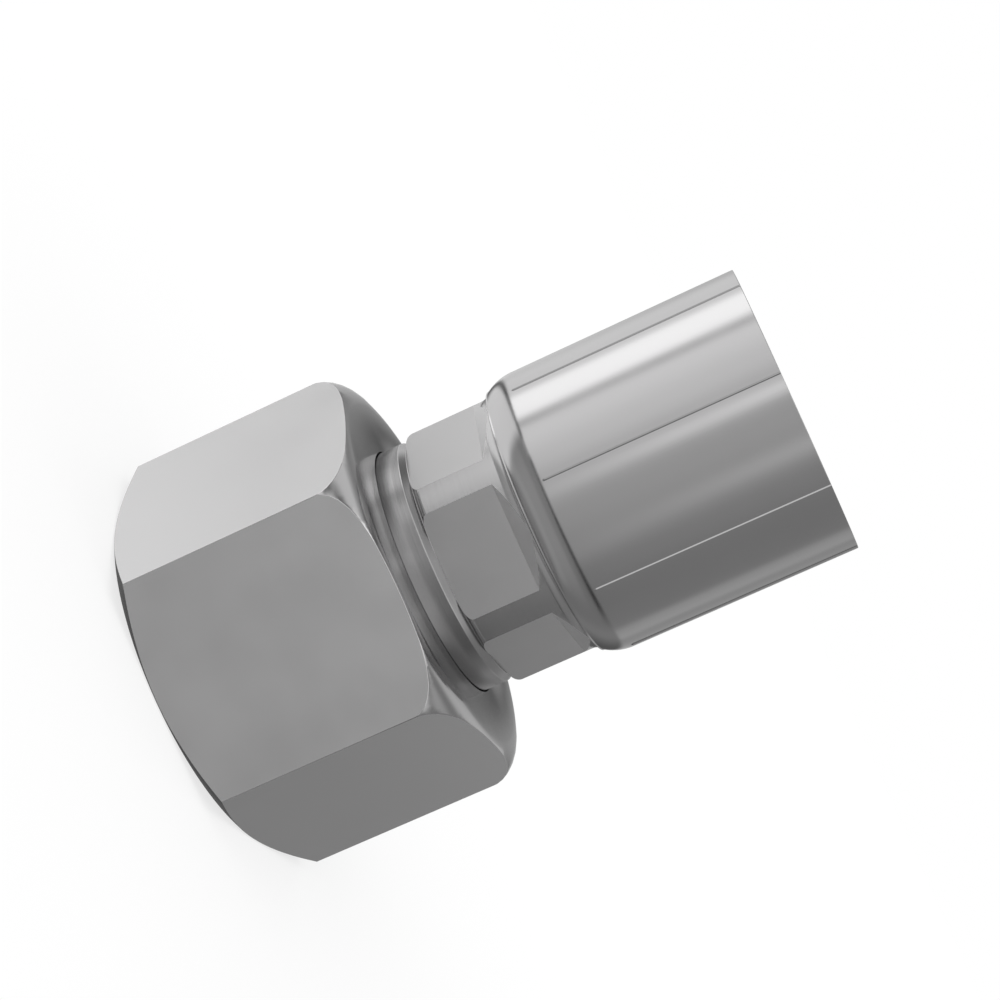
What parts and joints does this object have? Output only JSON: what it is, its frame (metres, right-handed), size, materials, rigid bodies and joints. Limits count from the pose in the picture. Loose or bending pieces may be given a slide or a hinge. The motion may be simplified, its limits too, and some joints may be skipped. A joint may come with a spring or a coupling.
{
  "type": "hydraulic fitting",
  "caption": "Straight crimp-on hydraulic hose end: a swivel nut on a 24 degree cone nipple with a hexagon, and a crimped steel shell over a barbed hose tail.",
  "frame": {"origin": "centre of the nut's open end face, which the fitting stands on", "axes": "+Z along the fitting's axis from the nut to the hose side; one flat of the nut and one flat of the hexagon face -Y, and two corners of each lie on the X axis"},
  "size_m": [0.0578, 0.05, 0.0842],
  "materials": {
    "nut_steel": "bright plated steel, milled flats and turned chamfers",
    "nipple_steel": "bright plated steel, turned, with milled flats",
    "shell_steel": "bright plated steel, pressed smooth by the crimping dies",
    "seal_rubber": "satin black nitrile rubber"
  },
  "bodies": {
    "hose_end": {"nipple": "nipple_steel", "crimp_shell": "shell_steel", "o_ring": "seal_rubber"},
    "nut": {"swivel_nut": "nut_steel"}
  },
  "joints": [
    {"name": "nut_swivel", "type": "hinge", "parent": "hose_end", "child": "nut", "pos_m": [0, 0, 0.027], "axis": [0, 0, 1], "continuous": true}
  ]
}
